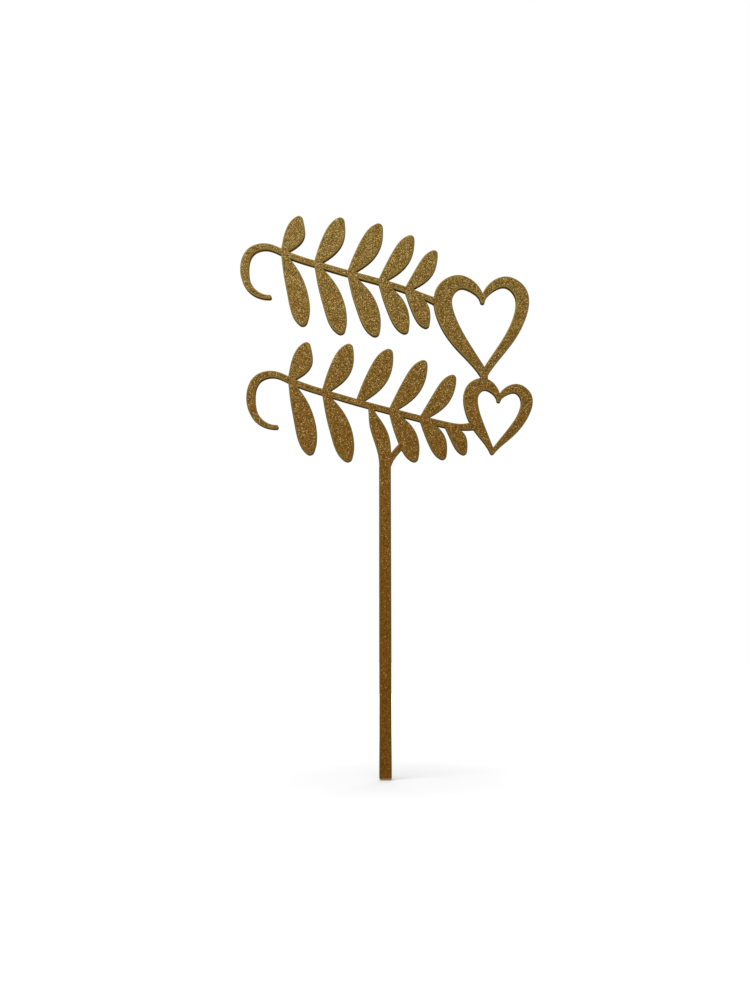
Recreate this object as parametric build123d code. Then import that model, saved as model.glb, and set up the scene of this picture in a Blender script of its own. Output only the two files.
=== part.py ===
from build123d import *
import math
import os

# Cake topper: two leafy brush-stroke branches and two hearts in one flat plane on a flat stick.
# Five pieces are cut from a 3 mm sheet with a glitter coat on both faces. Where two pieces
# cross, each is halved in thickness, and a film of glue holds them flush with one another.
# x runs to the right, z up from the tip of the stick, and y from the front to the back.

# Driving dimensions, in millimetres
OVERALL_HEIGHT = 240.0
SHEET_THICKNESS = 3.0
COAT_THICKNESS = 0.4
STICK_WIDTH = 5.0
LEAF_WIDTH = 9.2
HAIRLINE = 2.6
LAP_CLEARANCE = 0.1
GLUE_THICKNESS = 0.1

# The two rows: how far a row's highest leaf rises above the row's own height, how far apart the rows
# are, and how far the lower row sits to the right
ROW_RISE = 27.5
ROW_SPACING = 58.0
UPPER_ROW_HEIGHT = OVERALL_HEIGHT - ROW_RISE
LOWER_ROW_HEIGHT = UPPER_ROW_HEIGHT - ROW_SPACING
LOWER_ROW_SHIFT = 4.0

# The stick's round lower corners, its shoulder, and the thin tongue above that, which lies in the back
# of the lower branch
TIP_CORNER_RADIUS = 1.0
SHOULDER_HEIGHT = 127.0
TONGUE_HEIGHT = 137.0
TONGUE_WIDTH = 3.4

# A leaf: its fullness at shares of its length, the radius of its tip as a share of its width, how far
# round the tip its edges reach, in degrees, how far it bows, and the width of its neck on each side
# of the stem
LEAF_FULLNESS = ((0.30, 0.76), (0.60, 1.0))
LEAF_TIP_RADIUS = 0.22
LEAF_TIP_TURN = 52.0
LEAF_BOW = 1.2
UPPER_NECK = 2.2
LOWER_NECK = 1.8

# Pairs of leaves on each stem, from the curl to the hearts: the place along the row, the height
# of the stem, the heights of the upper and lower tips, the share of the full leaf's width, and the
# lean in degrees. A tip of None is a leaf that is left off. Lower leaves lean a little less.
UPPER_LEAVES = (
    (-44.5, 10.5, ROW_RISE, -23.0, 0.96, 24.0),
    (-30.0, 5.2, 26.8, -26.8, 1.0, 28.0),
    (-15.5, 0.8, 24.0, -27.8, 1.0, 31.0),
    (-2.0, -3.0, 18.5, -26.5, 0.93, 34.0),
    (9.5, -6.8, 11.5, -24.0, 0.83, 36.0),
)
LOWER_LEAVES = (
    (-44.5, 10.5, ROW_RISE, -22.0, 0.96, 24.0),
    (-30.0, 5.2, 26.8, -25.0, 1.0, 28.0),
    (-15.5, 0.8, 24.5, None, 1.0, 31.0),
    (-1.5, -3.0, 19.5, -25.0, 0.93, 34.0),
    (11.5, -6.4, 13.0, -24.0, 0.83, 37.0),
    (22.0, -9.0, None, -22.0, 0.70, 40.0),
)
LOWER_LEAN_LESS = 8.0

# Stations of the strokes, each a place across, a height and a width: the curl that starts each stem,
# the ends of the stems, which lie behind the hearts, and the forked foot of the lower branch
CURL = (
    (-50.0, -10.0, 1.8),
    (-57.0, -7.5, 2.6),
    (-61.1, 2.0, 3.8),
    (-58.0, 11.5, 3.4),
    (-51.5, 13.2, 2.8),
)
UPPER_STEM_END = ((19.0, -10.6, HAIRLINE), (26.6, -14.0, 3.6))
LOWER_STEM_END = ((29.0, -9.9, HAIRLINE), (35.0, -9.0, 3.4))
FOOT_STATIONS = (
    (-6.0, 153.2, 2.4),
    (-4.3, 147.0, 5.0),
    (-1.4, 139.5, 6.6),
    (-0.1, 132.5, 5.5),
    (0.0, 126.0, STICK_WIDTH),
)
PRONG_STATIONS = (
    (1.1, 126.5, HAIRLINE),
    (2.5, 130.8, HAIRLINE),
    (5.8, 135.2, HAIRLINE),
    (10.0, 140.5, HAIRLINE),
)

# The hearts: half of the shape, from cleft to tip, in shares of its size, and for each heart the place
# of its middle, its size and its tilt in degrees, and the widths of its two strokes at those points.
# The large heart also has a short tail, given as stations.
HALF_HEART = (
    (0.0, 0.29),
    (0.11, 0.47),
    (0.28, 0.54),
    (0.45, 0.42),
    (0.45, 0.12),
    (0.25, -0.26),
    (0.0, -0.62),
)
LARGE_HEART = (42.5, 190.0, 36.0, 0.0)
LARGE_HEART_LEFT = (2.0, 4.2, 6.2, 8.0, 7.8, 6.0, 3.6)
LARGE_HEART_RIGHT = (2.0, 3.6, 4.8, 5.8, 5.4, 4.2, 3.2)
LARGE_HEART_TAIL = ((42.6, 168.5, 3.0), (42.4, 163.2, 3.4))
SMALL_HEART = (47.5, 149.0, 25.0, -8.0)
SMALL_HEART_LEFT = (1.8, 3.5, 5.2, 6.4, 6.0, 4.6, 2.0)
SMALL_HEART_RIGHT = (1.8, 3.0, 4.0, 5.0, 4.6, 3.6, 2.0)


def brush_stroke(stations, grow=0.0):
    """A flat stroke with round ends through (x, z, width) stations, grown all round by grow."""
    points = [Vector(x, z) for x, z, _ in stations]
    halves = [width / 2 + grow for _, _, width in stations]
    middle = Spline(*points) if len(points) > 2 else Line(*points)
    headings = [middle % middle.param_at_point(point) for point in points]
    acrosses = [heading.rotate(Axis.Z, 90) for heading in headings]
    left = [point + across * half for point, across, half in zip(points, acrosses, halves)]
    right = [point - across * half for point, across, half in zip(points, acrosses, halves)]
    first, last = headings[0], headings[-1]
    outline = [
        Spline(*left, tangents=(first, last), tangent_scalars=(1, 1)),
        ThreePointArc(left[-1], points[-1] + last * halves[-1], right[-1]),
        Spline(*reversed(right), tangents=(-last, -first), tangent_scalars=(1, 1)),
        ThreePointArc(right[0], points[0] - first * halves[0], left[0]),
    ]
    return make_face(outline)


def leaf(base, tip_height, width, angle, neck, bow, grow):
    """A leaf from a thin neck at base, widest past its middle, to a round tip that ends at tip_height."""
    along = Vector(1, 0).rotate(Axis.Z, angle)
    across = along.rotate(Axis.Z, 90)
    radius = LEAF_TIP_RADIUS * width + grow
    reach = (abs(tip_height - base.Y) + grow - radius) / abs(along.Y)
    centre = base + along * reach
    turn = math.radians(LEAF_TIP_TURN)
    edges = []
    for outward in (across, -across):
        points = [base + outward * (neck / 2 + grow)]
        for share, fullness in LEAF_FULLNESS:
            spine = base + along * reach * share + across * bow * math.sin(math.pi * share)
            points.append(spine + outward * (fullness * width / 2 + grow))
        points.append(centre + (along * math.cos(turn) + outward * math.sin(turn)) * radius)
        leaving = (points[1] - points[0]).normalized()
        closing = along * math.sin(turn) - outward * math.cos(turn)
        edges.append(Spline(*points, tangents=(leaving, closing), tangent_scalars=(1, 1)))
    left, right = edges
    tip = ThreePointArc(left @ 1, centre + along * radius, right @ 1)
    return make_face([left, tip, right, Line(right @ 0, left @ 0)])


def branch(x, z, pairs, stem_end, grow):
    """A stem that starts in a curl at the left and carries pairs of leaves to its end."""
    stem = [*CURL]
    leaves = []
    for along, height, top, bottom, share, lean in pairs:
        stem.append((along, height, HAIRLINE))
        base = Vector(x + along, z + height)
        width = LEAF_WIDTH * share
        if top is not None:
            leaves.append(leaf(base, z + top, width, 90 - lean, UPPER_NECK, -LEAF_BOW, grow))
        if bottom is not None:
            angle = lean - LOWER_LEAN_LESS - 90
            leaves.append(leaf(base, z + bottom, width, angle, LOWER_NECK, LEAF_BOW, grow))
    stem += stem_end
    return brush_stroke([(x + along, z + height, width) for along, height, width in stem], grow) + leaves


def heart(middle_x, middle_z, size, tilt, left_widths, right_widths, grow):
    """A heart of two strokes that meet at its cleft and at its tip."""
    strokes = []
    for side, widths in ((-1, left_widths), (1, right_widths)):
        stations = []
        for (x, z), width in zip(HALF_HEART, widths):
            point = Vector(side * x * size, z * size).rotate(Axis.Z, tilt)
            stations.append((middle_x + point.X, middle_z + point.Y, width))
        strokes.append(brush_stroke(stations, grow))
    return strokes[0] + strokes[1]


def band(low_x, high_x, low_z, high_z):
    """A flat rectangle between two places across and two heights."""
    return Pos((low_x + high_x) / 2, (low_z + high_z) / 2) * Rectangle(high_x - low_x, high_z - low_z)


def upper_branch(grow=0.0):
    """The upper row."""
    return branch(0.0, UPPER_ROW_HEIGHT, UPPER_LEAVES, UPPER_STEM_END, grow)


def lower_branch(grow=0.0):
    """The lower row, whose foot comes down to the stick's shoulder with a thin prong at its right."""
    row = branch(LOWER_ROW_SHIFT, LOWER_ROW_HEIGHT, LOWER_LEAVES, LOWER_STEM_END, grow)
    row += [brush_stroke(FOOT_STATIONS, grow), brush_stroke(PRONG_STATIONS, grow)]
    return row - band(-STICK_WIDTH, STICK_WIDTH, 0, SHOULDER_HEIGHT - grow)


def large_heart(grow=0.0):
    """The large heart, with a short tail below its tip."""
    whole = heart(*LARGE_HEART, LARGE_HEART_LEFT, LARGE_HEART_RIGHT, grow)
    return whole + brush_stroke(LARGE_HEART_TAIL, grow)


def small_heart(grow=0.0):
    """The small heart, which hangs from the large heart's tail."""
    return heart(*SMALL_HEART, SMALL_HEART_LEFT, SMALL_HEART_RIGHT, grow)


def stick(grow=0.0):
    """The flat stick, with round corners at its tip and a tongue at its top."""
    half, tongue = STICK_WIDTH / 2 + grow, TONGUE_WIDTH / 2 + grow
    shaft = band(-half, half, -grow, SHOULDER_HEIGHT + grow)
    shaft = fillet(shaft.vertices().sort_by(Axis.Y)[:2], TIP_CORNER_RADIUS + grow)
    return shaft + band(-tongue, tongue, SHOULDER_HEIGHT, TONGUE_HEIGHT + grow)


def slab(outline, low, high):
    """A flat outline raised to a solid between two levels, counted forward from the sheet's middle."""
    return Pos(0, 0, low) * extrude(outline, high - low)


def upright(solid):
    """A solid stood up from the flat, with its front towards -y."""
    return Plane.XZ * solid


# The pieces, and the four laps: which piece keeps its front half and which its back half
OUTLINES = {
    "stick": stick,
    "lower_branch": lower_branch,
    "upper_branch": upper_branch,
    "large_heart": large_heart,
    "small_heart": small_heart,
}
LAPS = (
    ("lower_branch", "stick"),
    ("large_heart", "upper_branch"),
    ("large_heart", "small_heart"),
    ("small_heart", "lower_branch"),
)

FRONT = SHEET_THICKNESS / 2
CORE = FRONT - COAT_THICKNESS
GLUE = GLUE_THICKNESS / 2

os.makedirs("parts", exist_ok=True)
flats = {name: outline() for name, outline in OUTLINES.items()}
grown = {name: outline(LAP_CLEARANCE) for name, outline in OUTLINES.items()}

for name, flat in flats.items():
    before = [front for front, back in LAPS if back == name]
    behind = [back for front, back in LAPS if front == name]
    core = slab(flat, -CORE, CORE)
    front_face, back_face = flat, flat
    for other in before:
        core -= slab(grown[other], -GLUE, FRONT)
        front_face -= grown[other]
    for other in behind:
        core -= slab(grown[other], -FRONT, GLUE)
        back_face -= grown[other]
    export_step(upright(core), f"parts/{name}_core.step")
    export_step(upright(slab(front_face, CORE, FRONT)), f"parts/{name}_front_glitter.step")
    export_step(upright(slab(back_face, -FRONT, -CORE)), f"parts/{name}_back_glitter.step")

films = [slab(flats[front] & flats[back], -GLUE, GLUE) for front, back in LAPS]
export_step(upright(Compound(children=films)), "parts/lap_glue.step")
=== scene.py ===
import bpy
import bmesh
import math
import numpy as np
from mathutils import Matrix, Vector


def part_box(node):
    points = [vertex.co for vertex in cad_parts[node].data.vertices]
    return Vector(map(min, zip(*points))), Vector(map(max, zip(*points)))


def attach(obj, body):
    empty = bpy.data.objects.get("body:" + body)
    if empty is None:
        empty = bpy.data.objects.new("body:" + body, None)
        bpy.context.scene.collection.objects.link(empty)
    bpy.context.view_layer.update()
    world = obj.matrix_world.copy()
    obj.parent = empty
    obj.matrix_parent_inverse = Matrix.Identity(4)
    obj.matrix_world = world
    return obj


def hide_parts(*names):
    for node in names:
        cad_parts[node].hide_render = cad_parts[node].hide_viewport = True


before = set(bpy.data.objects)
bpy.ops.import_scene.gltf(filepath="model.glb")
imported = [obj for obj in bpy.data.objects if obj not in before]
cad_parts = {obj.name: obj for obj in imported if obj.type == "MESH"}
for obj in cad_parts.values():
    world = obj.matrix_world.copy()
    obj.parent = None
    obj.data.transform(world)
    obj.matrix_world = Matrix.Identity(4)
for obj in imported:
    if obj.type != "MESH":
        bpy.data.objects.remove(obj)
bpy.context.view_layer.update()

# The camera stands low in front of the stick and looks up a little, so that the undersides of
# the upper strokes show. Its place and lens follow from the stick's taper in the photograph.
CAMERA_PLACE = (-0.0042, -0.3844, 0.0490)
CAMERA_TILT = math.radians(9.5)
FOCAL_LENGTH_PER_FRAME_HEIGHT = 0.93
SENSOR_HEIGHT = 36.0

lens = bpy.data.cameras.new("camera")
lens.sensor_fit = "VERTICAL"
lens.sensor_height = SENSOR_HEIGHT
lens.lens = SENSOR_HEIGHT * FOCAL_LENGTH_PER_FRAME_HEIGHT
camera = bpy.data.objects.new("camera", lens)
camera.location = CAMERA_PLACE
camera.rotation_euler = (math.pi / 2 + CAMERA_TILT, 0, 0)
bpy.context.scene.collection.objects.link(camera)
bpy.context.scene.camera = camera
bpy.context.scene.view_settings.view_transform = "Standard"


# The cut cores are the middle of the sheet. What shows of them is the cut edge, smooth and satin,
# in a darker bronze than the faces, with fine lines across it from the cutting beam.
CUT_PIECES = ("stick", "lower_branch", "upper_branch", "large_heart", "small_heart")
EDGE_DARK = (0.055, 0.038, 0.009, 1.0)
EDGE_BRONZE = (0.130, 0.089, 0.019, 1.0)
EDGE_GLANCE = (0.24, 0.165, 0.05, 1.0)
EDGE_CLOUDS_PER_METRE = 90.0
EDGE_CLOUD_DETAIL = 3.0
EDGE_ROUGHNESS = 0.35
EDGE_ROUGHNESS_SPREAD = 0.25
CUT_LINES_PER_METRE = 3200.0
CUT_LINE_STRETCH = (1.0, 0.06, 1.0)
CUT_LINE_STRENGTH = 0.25
CUT_LINE_DEPTH = 0.00004


class Value:
    """An output of a node. Operators on it add Math nodes, and node() adds any other node."""

    def __init__(self, socket):
        self.socket = socket

    def node(self, kind, settings=None, inputs=None, output=None):
        tree = self.socket.id_data
        made = tree.nodes.new(kind)
        for name, setting in (settings or {}).items():
            setattr(made, name, setting)
        for name, value in (inputs or {}).items():
            socket = made.inputs[name] if isinstance(name, int) else live(made.inputs, name)
            if isinstance(value, Value):
                tree.links.new(value.socket, socket)
            else:
                socket.default_value = value
        return Value(live(made.outputs, output))

    def math(self, operation, *others):
        terms = dict(enumerate((self, *others)))
        return self.node("ShaderNodeMath", {"operation": operation}, terms)

    def __add__(self, other):
        return self.math("ADD", other)

    def __mul__(self, other):
        return self.math("MULTIPLY", other)

    __radd__ = __add__
    __rmul__ = __mul__


def live(sockets, name=None):
    """The socket of that name that the node's settings switch on, or the first that is on."""
    return next(s for s in sockets if s.enabled and name in (None, s.name))


def new_finish(name):
    """A new material, its shader, and its Object coordinates."""
    finish = bpy.data.materials.new(name)
    finish.use_nodes = True
    nodes = finish.node_tree.nodes
    place = Value(nodes.new("ShaderNodeTexCoord").outputs["Object"])
    return finish, nodes["Principled BSDF"], place


def feed(shader, values):
    """Links Values to a shader's sockets, and sets plain numbers and colours on them."""
    for name, value in values.items():
        if isinstance(value, Value):
            shader.id_data.links.new(value.socket, shader.inputs[name])
        else:
            shader.inputs[name].default_value = value


def clouds(place, per_metre, detail=2.0):
    """A soft random pattern between none and one, with about so many clouds to a metre."""
    pattern = {"Vector": place, "Scale": per_metre, "Detail": detail}
    return place.node("ShaderNodeTexNoise", {}, pattern)


def blend(factor, first, second):
    """A colour between two colours."""
    colours = {"Factor": factor, "A": first, "B": second}
    return factor.node("ShaderNodeMix", {"data_type": "RGBA"}, colours)


def cut_edge_finish():
    finish, shader, place = new_finish("cut_edge")
    cloud = clouds(place, EDGE_CLOUDS_PER_METRE, EDGE_CLOUD_DETAIL)
    across = place.node("ShaderNodeMapping", {}, {"Vector": place, "Scale": CUT_LINE_STRETCH})
    lines = clouds(across, CUT_LINES_PER_METRE)
    relief = {"Height": lines, "Strength": CUT_LINE_STRENGTH, "Distance": CUT_LINE_DEPTH}
    feed(shader, {
        "Base Color": blend(cloud, EDGE_DARK, EDGE_BRONZE),
        "Metallic": 1.0,
        "Roughness": EDGE_ROUGHNESS + EDGE_ROUGHNESS_SPREAD * lines,
        "Specular Tint": EDGE_GLANCE,
        "Normal": place.node("ShaderNodeBump", {}, relief),
    })
    return finish


cut_edge = cut_edge_finish()
for piece in CUT_PIECES:
    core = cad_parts[f"{piece}_core"]
    core.data.materials.clear()
    core.data.materials.append(cut_edge)


# The glue is a film of clear cement inside the half-laps, where the pieces cross.
# It is brushed on, so its surface is a little uneven.
GLUE_CLEAR = (0.70, 0.62, 0.45, 1.0)
GLUE_SMEARS_PER_METRE = 900.0
GLUE_ROUGHNESS = 0.15
GLUE_ROUGHNESS_SPREAD = 0.25


def glue_finish():
    finish, shader, place = new_finish("clear_cement")
    smear = clouds(place, GLUE_SMEARS_PER_METRE)
    roughness = GLUE_ROUGHNESS + GLUE_ROUGHNESS_SPREAD * smear
    feed(shader, {"Base Color": GLUE_CLEAR, "Roughness": roughness})
    return finish


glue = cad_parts["lap_glue"]
glue.data.materials.clear()
glue.data.materials.append(glue_finish())


# The glitter coats are a skin of gold binder on both faces of each core, flush with its cut edge.
# The binder draws back to a soft smooth rim, except where two pieces meet in a lap. Its colour is
# painted light from above: pale near the top of the topper, deeper and darker down the stick.
SIDES = {"front": -1, "back": 1}
FLAKE_STAND = 0.00011
RIM_WIDTH = 0.00075
RIM_STEPS = 6
RIM_FLAT = 0.00004
RIM_FADE = 0.00075
SEAM_WIDTH = 0.0002
OUTLINE_STEP = 0.0004
ON_LEVEL = 1e-6
SAME_CORNER = 1e-5
SAME_PLACE = 1e-7
LEAST_OPENING = 0.5
SHARP_ANGLE = math.radians(40)
# Painted light from above: the coat is painted paler from the first of these heights up to the
# second, and deeper and darker below it.
PAINTED_SHADE_HEIGHT = 0.055
PAINTED_LIGHT_HEIGHT = 0.245
SHADED_BINDER = (0.182, 0.069, 0.006, 1.0)
SHADED_BINDER_PIT = (0.075, 0.028, 0.003, 1.0)
LIT_BINDER = (0.210, 0.128, 0.027, 1.0)
LIT_BINDER_PIT = (0.052, 0.030, 0.004, 1.0)
SHADED_RIM = (0.117, 0.066, 0.011, 1.0)
LIT_RIM = (0.200, 0.146, 0.040, 1.0)
RIM_TO_FLAT_FACING = (0.985, 0.999)
# A painted highlight: the stick's very tip is paler.
PAINTED_TIP_HIGHLIGHT = (0.420, 0.290, 0.150, 1.0)
TIP_HIGHLIGHT_HEIGHT = 0.0012
GRAIN_PER_METRE = 3000.0
GRAIN_MIDDLE = (0.5, 0.5, 0.5)
GRAIN_LEAN = 0.5
BINDER_METALLIC = 0.4
BINDER_ROUGHNESS = 0.42
BINDER_ROUGHNESS_SPREAD = 0.12
BINDER_SPECULAR = 0.03


def face_loops(node, level, side):
    """Closed outlines of a node's faces at one level of y: (x, z) points, material on the left."""
    shell = bmesh.new()
    shell.from_mesh(node.data)
    bmesh.ops.remove_doubles(shell, verts=shell.verts, dist=SAME_CORNER)
    for face in shell.faces:
        face.tag = all(abs(v.co.y - level) < ON_LEVEL for v in face.verts)
    following = {}
    for face in shell.faces:
        for corner in face.loops:
            if face.tag and sum(other.tag for other in corner.edge.link_faces) == 1:
                following[corner.vert] = corner.link_loop_next.vert
    loops = []
    while following:
        first, here = following.popitem()
        points = [first.co.xz]
        while here is not first:
            points.append(here.co.xz)
            here = following.pop(here)
        loops.append(evenly_stepped(np.array(points[::-side])))
    shell.free()
    return loops


def evenly_stepped(loop):
    """A loop with points added on its long edges, so that the rim can fade out along them."""
    points = []
    for start, end in zip(loop, np.roll(loop, -1, axis=0)):
        count = math.ceil(np.linalg.norm(end - start) / OUTLINE_STEP)
        points += [start + (end - start) * k / count for k in range(count)]
    return np.array(points)


def distance_to_loops(points, loops):
    """How far each point is from the nearest edge of some loops."""
    nearest = np.full(len(points), np.inf)
    for loop in loops:
        for start, end in zip(loop, np.roll(loop, -1, axis=0)):
            run = end - start
            share = np.clip((points - start) @ run / (run @ run), 0.0, 1.0)
            gaps = np.linalg.norm(points - start - share[:, None] * run, axis=1)
            nearest = np.minimum(nearest, gaps)
    return nearest


def inward(loop):
    """For each point of a loop, the step that moves both its edges a metre into the material."""
    runs = np.roll(loop, -1, axis=0) - loop
    runs /= np.linalg.norm(runs, axis=1)[:, None]
    after = np.stack((-runs[:, 1], runs[:, 0]), axis=1)
    before = np.roll(after, 1, axis=0)
    opening = np.maximum(1.0 + (before * after).sum(axis=1), LEAST_OPENING)
    return (before + after) / opening[:, None]


def rim_profile(base, top):
    """The round rim from level base to level top, and a first step on the flat: insets and levels."""
    turns = [math.pi / 2 * k / RIM_STEPS for k in range(RIM_STEPS + 1)]
    depth = top - base
    profile = [(RIM_WIDTH * (1 - math.cos(turn)), base + depth * math.sin(turn)) for turn in turns]
    return profile + [(RIM_WIDTH + RIM_FLAT, top)]


def edges_round(skin, ring):
    """The edges that join a closed ring of corners."""
    return [skin.edges.get((ring[i - 1], corner)) for i, corner in enumerate(ring)]


def coat_mesh(name, loops, others, base, top, side):
    """A closed skin inside some outlines, whose round rim fades out where the others touch them."""
    skin = bmesh.new()
    foot_edges, face_edges = [], []
    for loop in loops:
        rim = np.clip((distance_to_loops(loop, others) - SEAM_WIDTH) / RIM_FADE, 0.0, 1.0)
        step = inward(loop) * rim[:, None]
        rings = []
        for inset, level in rim_profile(base, top):
            places = loop + step * inset
            rings.append([skin.verts.new((x, side * level, z)) for x, z in places])
        for lower, upper in zip(rings, rings[1:]):
            for i, corner in enumerate(lower):
                skin.faces.new((lower[i - 1], corner, upper[i], upper[i - 1]))
        foot_edges += edges_round(skin, rings[0])
        face_edges += edges_round(skin, rings[-1])
    bmesh.ops.triangle_fill(skin, edges=foot_edges, use_beauty=True)
    bmesh.ops.triangle_fill(skin, edges=face_edges, use_beauty=True)
    bmesh.ops.remove_doubles(skin, verts=skin.verts, dist=SAME_PLACE)
    bmesh.ops.recalc_face_normals(skin, faces=skin.faces)
    for face in skin.faces:
        face.smooth = True
    for edge in skin.edges:
        edge.smooth = edge.calc_face_angle(math.pi) < SHARP_ANGLE
    mesh = bpy.data.meshes.new(name)
    skin.to_mesh(mesh)
    skin.free()
    return mesh


def coordinate(vector, axis):
    """One coordinate of a vector."""
    return vector.node("ShaderNodeSeparateXYZ", {}, {"Vector": vector}, axis)


def passage(value, start, end, low=0.0, high=1.0, kind="SMOOTHSTEP"):
    """A value that goes from low to high as another goes from start to end."""
    span = {"Value": value, "From Min": start, "From Max": end, "To Min": low, "To Max": high}
    return value.node("ShaderNodeMapRange", {"interpolation_type": kind}, span)


def painted_height_light(place):
    """How much painted light from above a place gets: none low on the stick, and nearly one at the
    highest leaf.
    """
    return passage(coordinate(place, "Z"), PAINTED_SHADE_HEIGHT, PAINTED_LIGHT_HEIGHT)


def binder_finish():
    finish, shader, place = new_finish("gold_binder")
    cells = {"Vector": place, "Scale": GRAIN_PER_METRE}
    grain = place.node("ShaderNodeTexVoronoi", {}, cells, "Color")
    shade = place.node("ShaderNodeSeparateColor", {}, {"Color": grain}, "Green")
    surface = place.node("ShaderNodeNewGeometry", {}, {}, "Normal")
    facing = coordinate(surface, "Y").math("ABSOLUTE")
    flat = passage(facing, *RIM_TO_FLAT_FACING, kind="LINEAR")

    tilt = {0: grain, 1: GRAIN_MIDDLE}
    tilt = place.node("ShaderNodeVectorMath", {"operation": "SUBTRACT"}, tilt)
    lean = {0: tilt, "Scale": flat * GRAIN_LEAN}
    lean = place.node("ShaderNodeVectorMath", {"operation": "SCALE"}, lean)
    leaning = {0: surface, 1: lean}
    leaning = place.node("ShaderNodeVectorMath", {"operation": "ADD"}, leaning)

    # Painted light and shade by height: paler towards the top, deeper and darker lower down.
    full = painted_height_light(place)
    pits = blend(full, SHADED_BINDER_PIT, LIT_BINDER_PIT)
    speckle = blend(shade, pits, blend(full, SHADED_BINDER, LIT_BINDER))
    rim = blend(full, SHADED_RIM, LIT_RIM)
    # A painted highlight on the last millimetre or so of the stick's tip.
    tip_highlight = passage(coordinate(place, "Z"), TIP_HIGHLIGHT_HEIGHT, 0.0)
    feed(shader, {
        "Base Color": blend(tip_highlight, blend(flat, rim, speckle), PAINTED_TIP_HIGHLIGHT),
        "Metallic": BINDER_METALLIC,
        "Roughness": BINDER_ROUGHNESS + BINDER_ROUGHNESS_SPREAD * shade,
        "Specular IOR Level": BINDER_SPECULAR,
        "Normal": place.node("ShaderNodeVectorMath", {"operation": "NORMALIZE"}, {0: leaning}),
    })
    return finish


binder = binder_finish()
coats = {}
for side_name, side in SIDES.items():
    node_names = {piece: f"{piece}_{side_name}_glitter" for piece in CUT_PIECES}
    levels, outlines = {}, {}
    for piece, node_name in node_names.items():
        low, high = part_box(node_name)
        levels[piece] = sorted((abs(low.y), abs(high.y)))
        outlines[piece] = face_loops(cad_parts[node_name], side * levels[piece][1], side)
    for piece, node_name in node_names.items():
        base, top = levels[piece]
        others = [loop for other in CUT_PIECES if other != piece for loop in outlines[other]]
        name = f"{piece}_{side_name}_coat"
        mesh = coat_mesh(name, outlines[piece], others, base, top - FLAKE_STAND, side)
        mesh.materials.append(binder)
        coat = bpy.data.objects.new(name, mesh)
        bpy.context.scene.collection.objects.link(coat)
        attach(coat, "root")
        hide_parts(node_name)
        coats[piece, side_name] = coat


# The glitter is small six-sided metal flakes, scattered on the binder while it is wet, which lie
# half sunk at all angles. A flake is one flat facet of one shade, from bronze to pale gold, and
# each shade has its share low on the stick and at the top, where more pale flakes are painted light.
FLAKE_SIDES = 6
FLAKE_RADIUS = 0.0002
FLAKE_SCALES = (0.7, 1.15)
FLAKE_THICKNESS = 0.00003
FLAKE_SPACING = 0.00031
FLAKES_PER_SQUARE_METRE = 8.0e6
FLAKE_LEAN = math.radians(16)
FLAKE_GROUND_FACING = 0.999
# Each shade: its colour, its share low on the stick, and its share at the top. The shift between the
# two shares is painted light from above.
FLAKE_SHADES = {
    "copper_flake": ((0.168, 0.080, 0.014, 1.0), 0.66, 0.13),
    "bronze_flake": ((0.045, 0.028, 0.004, 1.0), 0.28, 0.20),
    "gold_flake": ((0.310, 0.202, 0.058, 1.0), 0.06, 0.37),
    "pale_flake": ((0.350, 0.275, 0.125, 1.0), 0.0, 0.30),
}
FLAKE_ROUGHNESS = 0.5
SCALE_SEED = 100
SHADE_SEED = 200


def flake_finish(name, colour):
    finish, shader, _ = new_finish(name)
    feed(shader, {"Base Color": colour, "Metallic": 1.0, "Roughness": FLAKE_ROUGHNESS})
    return finish


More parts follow.
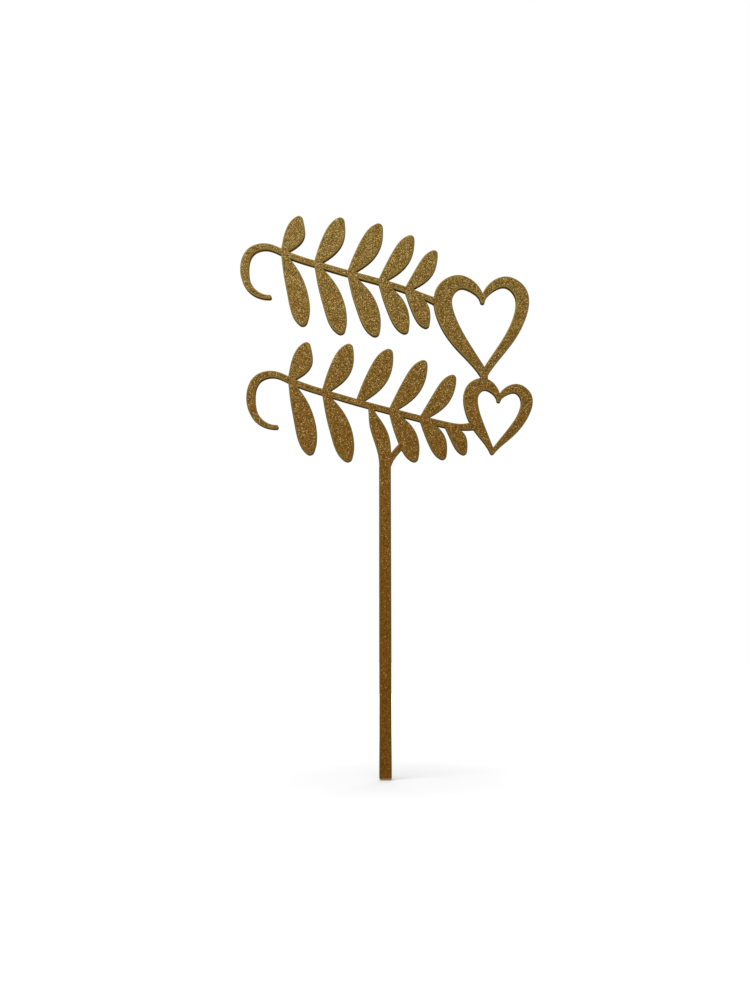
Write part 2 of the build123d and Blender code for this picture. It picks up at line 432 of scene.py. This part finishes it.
def flake_tree(finishes):
    """Scatters flakes on the faces of a coat that look straight out of the sheet."""
    tree = bpy.data.node_groups.new("glitter_flakes", "GeometryNodeTree")
    panel = tree.interface
    panel.new_socket("Coat", in_out="INPUT", socket_type="NodeSocketGeometry")
    for name in ("Facing", "Radius", "Thickness", "Spacing", "Density", "Lean"):
        panel.new_socket(name, in_out="INPUT", socket_type="NodeSocketFloat")
    panel.new_socket("Seed", in_out="INPUT", socket_type="NodeSocketInt")
    panel.new_socket("Flakes", in_out="OUTPUT", socket_type="NodeSocketGeometry")
    given = {s.name: Value(s) for s in tree.nodes.new("NodeGroupInput").outputs if s.name}
    coat, seed, lean = given["Coat"], given["Seed"], given["Lean"]

    # Places on the flat of the coat
    normal = coat.node("GeometryNodeInputNormal", {}, {}, "Normal")
    outward = {"A": coordinate(normal, "Y") * given["Facing"], "B": FLAKE_GROUND_FACING}
    places = {
        "Mesh": coat,
        "Selection": coat.node("FunctionNodeCompare", {"operation": "GREATER_THAN"}, outward),
        "Distance Min": given["Spacing"],
        "Density Max": given["Density"],
        "Seed": seed,
    }
    scattered = {"distribute_method": "POISSON"}
    points = coat.node("GeometryNodeDistributePointsOnFaces", scattered, places, "Points")
    upright = Value(points.socket.node.outputs["Rotation"])

    # A random turn and lean for each flake
    most = coat.node("ShaderNodeCombineXYZ", {}, {"X": lean, "Y": lean, "Z": math.pi})
    least = coat.node("ShaderNodeVectorMath", {"operation": "SCALE"}, {0: most, "Scale": -1.0})
    turns = {"Min": least, "Max": most, "Seed": seed}
    turn = coat.node("FunctionNodeRandomValue", {"data_type": "FLOAT_VECTOR"}, turns)
    turn = coat.node("FunctionNodeEulerToRotation", {}, {"Euler": turn})
    lying = {"Rotation": upright, "Rotate By": turn}
    lying = coat.node("FunctionNodeRotateRotation", {"rotation_space": "LOCAL"}, lying)

    # The flakes, in their random sizes
    sizes = {"Vertices": FLAKE_SIDES, "Radius": given["Radius"], "Depth": given["Thickness"]}
    plate = coat.node("GeometryNodeMeshCylinder", {}, sizes, "Mesh")
    scales = {"Min": FLAKE_SCALES[0], "Max": FLAKE_SCALES[1], "Seed": seed + SCALE_SEED}
    scale = coat.node("FunctionNodeRandomValue", {"data_type": "FLOAT"}, scales)
    flakes = {"Points": points, "Instance": plate, "Rotation": lying, "Scale": scale}
    flakes = coat.node("GeometryNodeInstanceOnPoints", {}, flakes)

    # A random shade for each flake, kept on it when the flakes become one mesh
    chance = {"Seed": seed + SHADE_SEED}
    chance = coat.node("FunctionNodeRandomValue", {"data_type": "FLOAT"}, chance)
    marked = {"Geometry": flakes, "Name": "shade", "Value": chance}
    on_flakes = {"data_type": "FLOAT", "domain": "INSTANCE"}
    marked = coat.node("GeometryNodeStoreNamedAttribute", on_flakes, marked)
    made = coat.node("GeometryNodeRealizeInstances", {}, {"Geometry": marked})
    made = coat.node("GeometryNodeSetShadeSmooth", {}, {"Geometry": made, "Shade Smooth": False})
    shade = {"Name": "shade"}
    shade = coat.node("GeometryNodeInputNamedAttribute", {"data_type": "FLOAT"}, shade, "Attribute")
    full = painted_height_light(coat.node("GeometryNodeInputPosition", {}, {}, "Position"))
    # Pale and gold flakes are picked more often higher up: painted light from above.
    shaded_below, lit_below = 0.0, 0.0
    for finish, (_, shaded_share, lit_share) in zip(finishes, FLAKE_SHADES.values()):
        limit = {"A": shade, "B": shaded_below + full * (lit_below - shaded_below)}
        own = coat.node("FunctionNodeCompare", {"operation": "GREATER_EQUAL"}, limit)
        painted = {"Geometry": made, "Selection": own, "Material": finish}
        made = coat.node("GeometryNodeSetMaterial", {}, painted)
        shaded_below += shaded_share
        lit_below += lit_share
    made = coat.node("GeometryNodeRemoveAttribute", {}, {"Geometry": made, "Name": "shade"})
    tree.links.new(made.socket, tree.nodes.new("NodeGroupOutput").inputs["Flakes"])
    return tree


finishes = [flake_finish(name, colour) for name, (colour, _, _) in FLAKE_SHADES.items()]
scatter = flake_tree(finishes)
inputs = [item for item in scatter.interface.items_tree if item.in_out == "INPUT"]
identifiers = {item.name: item.identifier for item in inputs}
for number, ((piece, side_name), coat) in enumerate(coats.items()):
    bed = bpy.data.objects.new("flake_bed", coat.data)
    bpy.context.scene.collection.objects.link(bed)
    modifier = bed.modifiers.new("flakes", "NODES")
    modifier.node_group = scatter
    settings = {
        "Facing": float(SIDES[side_name]),
        "Radius": FLAKE_RADIUS,
        "Thickness": FLAKE_THICKNESS,
        "Spacing": FLAKE_SPACING,
        "Density": FLAKES_PER_SQUARE_METRE,
        "Lean": FLAKE_LEAN,
        "Seed": number,
    }
    for name, value in settings.items():
        modifier[identifiers[name]] = value
    name = f"{piece}_{side_name}_flakes"
    evaluated = bed.evaluated_get(bpy.context.evaluated_depsgraph_get())
    mesh = bpy.data.meshes.new_from_object(evaluated)
    mesh.name = name
    bpy.data.objects.remove(bed)
    flakes = bpy.data.objects.new(name, mesh)
    bpy.context.scene.collection.objects.link(flakes)
    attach(flakes, "root")


# The stage is a white floor under the tip of the stick and a white room around it.
# A large soft lamp hangs high at the front left, a weaker one stands behind for the back face,
# and the room fills the shadows.
FLOOR_HALF_WIDTH = 6.0
FLOOR_GAP = 0.00002
FLOOR_WHITE = (0.80, 0.80, 0.80, 1.0)
FLOOR_GLOW_IN_SHADE_POOL = 0.14
SHADE_POOL_REACH = (0.02, 0.25)
LAMPS = {"key": ((-0.26, -0.53, 0.76), 0.9, 7.2), "back": ((0.10, 0.75, 0.38), 0.7, 3.2)}
LAMP_AIM = Vector((0.0, 0.0, 0.17))
ROOM_GREY = (0.42, 0.42, 0.43, 1.0)
WHITE = (1.0, 1.0, 1.0, 1.0)
BLACK = (0.0, 0.0, 0.0, 1.0)


def in_view(tree):
    """One for rays that show the background, straight or reflected, and none for rays that light."""
    path = tree.nodes.new("ShaderNodeLightPath").outputs
    camera_ray, glossy_ray, transmission_ray = (
        Value(path[name]) for name in ("Is Camera Ray", "Is Glossy Ray", "Is Transmission Ray")
    )
    return (camera_ray + glossy_ray + transmission_ray).math("MINIMUM", 1.0)


floor_mesh = bpy.data.meshes.new("floor")
ends = (-FLOOR_HALF_WIDTH, FLOOR_HALF_WIDTH)
corners = [(x, y, -FLOOR_GAP) for x in ends for y in ends]
floor_mesh.from_pydata(corners, [], [(0, 2, 3, 1)])
floor = bpy.data.objects.new("floor", floor_mesh)
bpy.context.scene.collection.objects.link(floor)
floor_finish, ground, place = new_finish("floor")
# The floor glows white to the camera, but less near the foot. This leaves a faint painted pool of
# shade there, with the lamps' real shadow on it.
away = place.node("ShaderNodeVectorMath", {"operation": "LENGTH"}, {0: place}, "Value")
glow = passage(away, *SHADE_POOL_REACH, low=FLOOR_GLOW_IN_SHADE_POOL)
feed(ground, {
    "Base Color": FLOOR_WHITE,
    "Roughness": 1.0,
    "Specular IOR Level": 0.0,
    "Emission Color": blend(glow * in_view(floor_finish.node_tree), BLACK, WHITE),
    "Emission Strength": 1.0,
})
floor_mesh.materials.append(floor_finish)

for name, (stand, size, watts) in LAMPS.items():
    light = bpy.data.lights.new(name, "AREA")
    light.shape = "SQUARE"
    light.size = size
    light.energy = watts
    lamp = bpy.data.objects.new(name, light)
    lamp.location = stand
    lamp.rotation_euler = (LAMP_AIM - Vector(stand)).to_track_quat("-Z", "Y").to_euler()
    lamp.visible_camera = False
    bpy.context.scene.collection.objects.link(lamp)

room = bpy.data.worlds.new("room")
room.use_nodes = True
room_colour = blend(in_view(room.node_tree), ROOM_GREY, WHITE)
feed(room.node_tree.nodes["Background"], {"Color": room_colour})
bpy.context.scene.world = room
